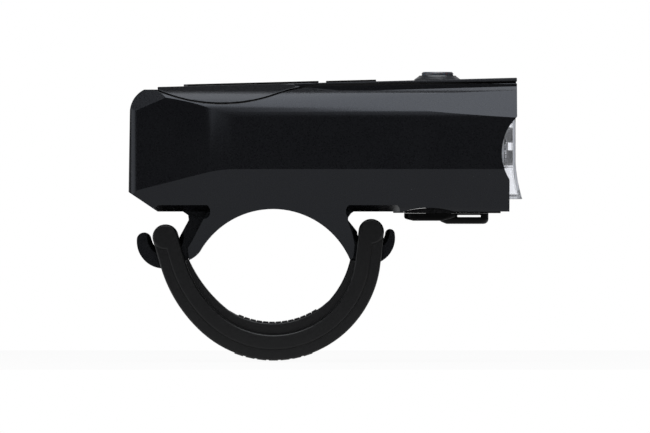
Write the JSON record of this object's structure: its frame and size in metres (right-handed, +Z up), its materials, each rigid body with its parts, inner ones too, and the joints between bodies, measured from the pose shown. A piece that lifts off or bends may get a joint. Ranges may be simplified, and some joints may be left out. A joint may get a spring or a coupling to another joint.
{
  "type": "bike headlight",
  "caption": "Bicycle headlight with a slim faceted body, a button on top, a covered charging port and a handlebar saddle held by a rubber strap between hooks.",
  "frame": {"origin": "on the axis of the saddle's arch, where the handlebar goes, midway across", "axes": "+X forward along the beam, +Y across along the handlebar, +Z up to the button"},
  "size_m": [0.0895, 0.034, 0.066],
  "materials": {
    "body_plastic": "fine matt black moulding",
    "cover_plastic": "satin dark grey moulding",
    "seal_rubber": "matt black seal",
    "inlay_plastic": "satin black plate",
    "smoked_plastic": "smoked window, polished",
    "button_silicone": "milky grey silicone",
    "bezel_plastic": "satin grey ring",
    "clear_lens": "clear moulded lens",
    "clear_optic": "clear polished optic",
    "holder_plastic": "white optic holder",
    "led_phosphor": "yellow phosphor under a clear dome",
    "status_led": "small white light source",
    "circuit_board": "green solder mask",
    "white_board": "white solder mask on aluminium",
    "chip_plastic": "black moulded packages",
    "screw_steel": "zinc plated",
    "sink_aluminium": "bare machined",
    "thermal_silicone": "soft grey pad",
    "lead_insulation": "red insulation",
    "cell_wrap": "blue shrink wrap",
    "nickel_strip": "nickel plated strip",
    "foam": "closed cell foam",
    "cradle_plastic": "black moulding",
    "port_steel": "stamped stainless shell",
    "seat_plastic": "glossy black port plate",
    "cover_rubber": "smooth black rubber",
    "strap_rubber": "satin black rubber"
  },
  "bodies": {
    "light": {"housing": "body_plastic", "top_cover": "cover_plastic", "cover_gasket": "seal_rubber", "top_inlay": "inlay_plastic", "status_window": "smoked_plastic", "status_leds": "status_led", "button_bezel": "bezel_plastic", "tact_switch": "chip_plastic", "front_lens": "clear_lens", "lens_gasket": "seal_rubber", "collimator": "clear_optic", "optic_holder": "holder_plastic", "led_emitters": "led_phosphor", "led_board": "white_board", "led_board_screws": "screw_steel", "thermal_pad": "thermal_silicone", "heat_sink": "sink_aluminium", "led_leads": "lead_insulation", "main_board": "circuit_board", "board_chips": "chip_plastic", "board_screws": "screw_steel", "battery_cell": "cell_wrap", "battery_tabs": "nickel_strip", "cell_foam": "foam", "battery_cradle": "cradle_plastic", "usb_board": "circuit_board", "usb_port": "port_steel", "port_seat": "seat_plastic", "port_cover_anchor": "cover_rubber", "mount_strap": "strap_rubber"},
    "button": {"power_button": "button_silicone"},
    "plunger": {"switch_plunger": "chip_plastic"},
    "flap": {"port_cover": "cover_rubber"}
  },
  "joints": [
    {"name": "button_press", "type": "slide", "parent": "light", "child": "button", "axis": [0, 0, -1], "range_m": [0, 0.0005], "stiffness_N_per_m": 3000},
    {"name": "switch_press", "type": "slide", "parent": "light", "child": "plunger", "axis": [0, 0, -1], "range_m": [0, 0.0005]},
    {"name": "port_cover_hinge", "type": "hinge", "parent": "light", "child": "flap", "pos_m": [0.0299, 0, 0.0181], "axis": [0, 1, 0], "range_deg": [0, 90]}
  ],
  "couplings": [
    {"joint": "switch_press", "follows": "button_press", "ratio": 1}
  ]
}
